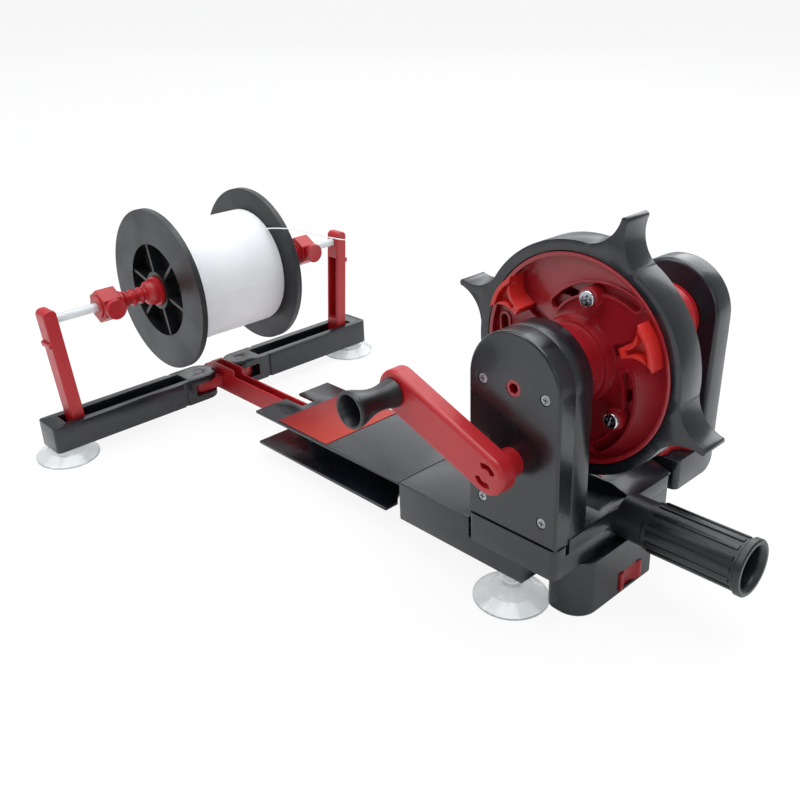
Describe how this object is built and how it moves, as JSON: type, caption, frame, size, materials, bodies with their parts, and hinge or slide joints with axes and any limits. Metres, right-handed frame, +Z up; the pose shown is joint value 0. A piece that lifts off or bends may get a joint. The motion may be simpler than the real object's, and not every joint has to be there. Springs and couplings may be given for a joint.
{
  "type": "fishing line winder",
  "caption": "Hand-cranked winder with a geared jaw chuck, sliding tailstock and a folding stand for a bulk line spool",
  "frame": {"origin": "centre of the foot's flat rest face, on the surface it stands on", "axes": "+X towards the hand grip, away from the spool stand; +Y away from the crank; +Z up. The machine stands tilted 2.8 degrees, head end up"},
  "size_m": [0.4665, 0.2892, 0.2037],
  "materials": {
    "charcoal_plastic": "semi-gloss moulded",
    "red_plastic": "semi-gloss moulded",
    "dark_red_plastic": "gloss moulded",
    "clear_rubber": "clear soft vinyl",
    "chrome_screw": "bright plated",
    "dark_screw": "black oxide",
    "steel": "turned",
    "gear_plastic": "moulded",
    "white_line": "nylon line",
    "rod_plastic": "translucent white",
    "label_film": "plain printed film"
  },
  "bodies": {
    "root": {"base_tub": "charcoal_plastic", "head_frame": "charcoal_plastic", "gearbox_cover": "charcoal_plastic", "gearbox_screws": "dark_screw", "grip_neck": "charcoal_plastic", "grip_handle": "charcoal_plastic", "foot_leg": "charcoal_plastic", "catch_spring": "steel", "channel_box": "charcoal_plastic", "channel_top_plate": "charcoal_plastic", "channel_bottom_plate": "charcoal_plastic", "channel_guide": "charcoal_plastic", "label_plate": "label_film", "near_cup": "clear_rubber"},
    "catch": {"foot_catch": "red_plastic"},
    "crank": {"crank_arm": "red_plastic", "crank_shaft": "steel", "crank_gear": "gear_plastic", "knob_pin": "steel"},
    "knob": {"crank_knob": "charcoal_plastic"},
    "chuck": {"chuck_cup": "dark_red_plastic", "chuck_screws": "chrome_screw", "chuck_axle": "dark_red_plastic", "chuck_gear": "gear_plastic", "chuck_washer": "steel"},
    "ring": {"grip_ring": "charcoal_plastic", "scroll_plate": "dark_red_plastic"},
    "jaw_a_body": {"jaw_a": "red_plastic"},
    "jaw_b_body": {"jaw_b": "red_plastic"},
    "jaw_c_body": {"jaw_c": "red_plastic"},
    "tailstock": {"tail_pillar": "charcoal_plastic", "tail_foot": "charcoal_plastic", "tail_tongue": "dark_red_plastic", "lever_screw": "dark_screw"},
    "centre": {"tail_centre": "red_plastic", "tail_axle": "steel"},
    "lever": {"lock_lever": "red_plastic"},
    "rail": {"slide_rail": "red_plastic", "fold_pins": "steel"},
    "left_arm": {"left_bar": "charcoal_plastic", "left_upright_pin": "steel", "left_cup": "clear_rubber"},
    "right_arm": {"right_bar": "charcoal_plastic", "right_upright_pin": "steel", "right_cup": "clear_rubber"},
    "left_post": {"left_upright": "red_plastic"},
    "right_post": {"right_upright": "red_plastic"},
    "axle": {"axle_rod": "rod_plastic", "left_collar": "red_plastic", "right_collar": "red_plastic", "left_thumb_screw": "red_plastic", "right_thumb_screw": "red_plastic", "line_tail": "white_line"},
    "reel": {"spool": "charcoal_plastic", "line_core": "white_line", "line_winding": "white_line", "left_cone": "red_plastic", "right_cone": "red_plastic"}
  },
  "joints": [
    {"name": "crank_turn", "type": "hinge", "parent": "root", "child": "crank", "pos_m": [-0.02502, -0.067, 0.08785], "axis": [0, -1, 0], "continuous": true},
    {"name": "knob_spin", "type": "hinge", "parent": "crank", "child": "knob", "pos_m": [-0.08813, -0.082, 0.10904], "axis": [0, -1, 0], "continuous": true},
    {"name": "chuck_spin", "type": "hinge", "parent": "root", "child": "chuck", "pos_m": [-0.02691, -0.022, 0.12655], "axis": [0, -1, 0], "continuous": true},
    {"name": "ring_turn", "type": "hinge", "parent": "chuck", "child": "ring", "pos_m": [-0.02691, 0, 0.12655], "axis": [0, -1, 0], "range_deg": [0, 60]},
    {"name": "tailstock_slide", "type": "slide", "parent": "root", "child": "tailstock", "axis": [0, 1, 0], "range_m": [-0.0055, 0.045]},
    {"name": "centre_spin", "type": "hinge", "parent": "tailstock", "child": "centre", "pos_m": [-0.02691, 0.073, 0.12655], "axis": [0, -1, 0], "continuous": true},
    {"name": "lever_swing", "type": "hinge", "parent": "tailstock", "child": "lever", "pos_m": [-0.01019, 0.059, 0.05678], "axis": [-0.0488, 0, 0.9988], "range_deg": [-30, 30]},
    {"name": "rail_slide", "type": "slide", "parent": "root", "child": "rail", "axis": [0.9988, 0, 0.0488], "range_m": [0, 0.08]},
    {"name": "stand_fold", "type": "hinge", "parent": "rail", "child": "left_arm", "pos_m": [-0.32993, -0.04, 0.01712], "axis": [0.0488, 0, -0.9988], "range_deg": [0, 87]},
    {"name": "right_arm_fold", "type": "hinge", "parent": "rail", "child": "right_arm", "pos_m": [-0.32993, -0.004, 0.01712], "axis": [-0.0488, 0, 0.9988], "range_deg": [0, 90]},
    {"name": "left_post_fold", "type": "hinge", "parent": "left_arm", "child": "left_post", "pos_m": [-0.33006, -0.136, 0.01971], "axis": [-0.9988, 0, -0.0488], "range_deg": [0, 94.5]},
    {"name": "right_post_fold", "type": "hinge", "parent": "right_arm", "child": "right_post", "pos_m": [-0.33006, 0.092, 0.01971], "axis": [0.9988, 0, 0.0488], "range_deg": [0, 94.5]},
    {"name": "rod_lift", "type": "slide", "parent": "rail", "child": "axle", "axis": [-0.0488, 0, 0.9988], "range_m": [0, 0.34]},
    {"name": "spool_spin", "type": "hinge", "parent": "axle", "child": "reel", "pos_m": [-0.33369, -0.022, 0.09403], "axis": [0, -1, 0], "continuous": true},
    {"name": "catch_press", "type": "slide", "parent": "root", "child": "catch", "axis": [-0.9988, 0, -0.0488], "range_m": [0, 0.0025], "stiffness_N_per_m": 400},
    {"name": "jaw_a_slide", "type": "slide", "parent": "chuck", "child": "jaw_a_body", "axis": [-0.8878, 0, -0.4602], "range_m": [0, 0.0121]},
    {"name": "jaw_b_slide", "type": "slide", "parent": "chuck", "child": "jaw_b_body", "axis": [0.8424, 0, -0.5388], "range_m": [0, 0.0121]},
    {"name": "jaw_c_slide", "type": "slide", "parent": "chuck", "child": "jaw_c_body", "axis": [0.0454, 0, 0.999], "range_m": [0, 0.0121]}
  ],
  "couplings": [
    {"joint": "chuck_spin", "follows": "crank_turn", "ratio": -1.5833},
    {"joint": "jaw_a_slide", "follows": "ring_turn", "m_per_rad": 0.011459},
    {"joint": "jaw_b_slide", "follows": "ring_turn", "m_per_rad": 0.011459},
    {"joint": "jaw_c_slide", "follows": "ring_turn", "m_per_rad": 0.011459},
    {"joint": "right_arm_fold", "follows": "stand_fold", "ratio": 1},
    {"joint": "left_post_fold", "follows": "stand_fold", "ratio": 1.05},
    {"joint": "right_post_fold", "follows": "stand_fold", "ratio": 1.05},
    {"joint": "rod_lift", "follows": "stand_fold", "m_per_rad": 0.21}
  ]
}
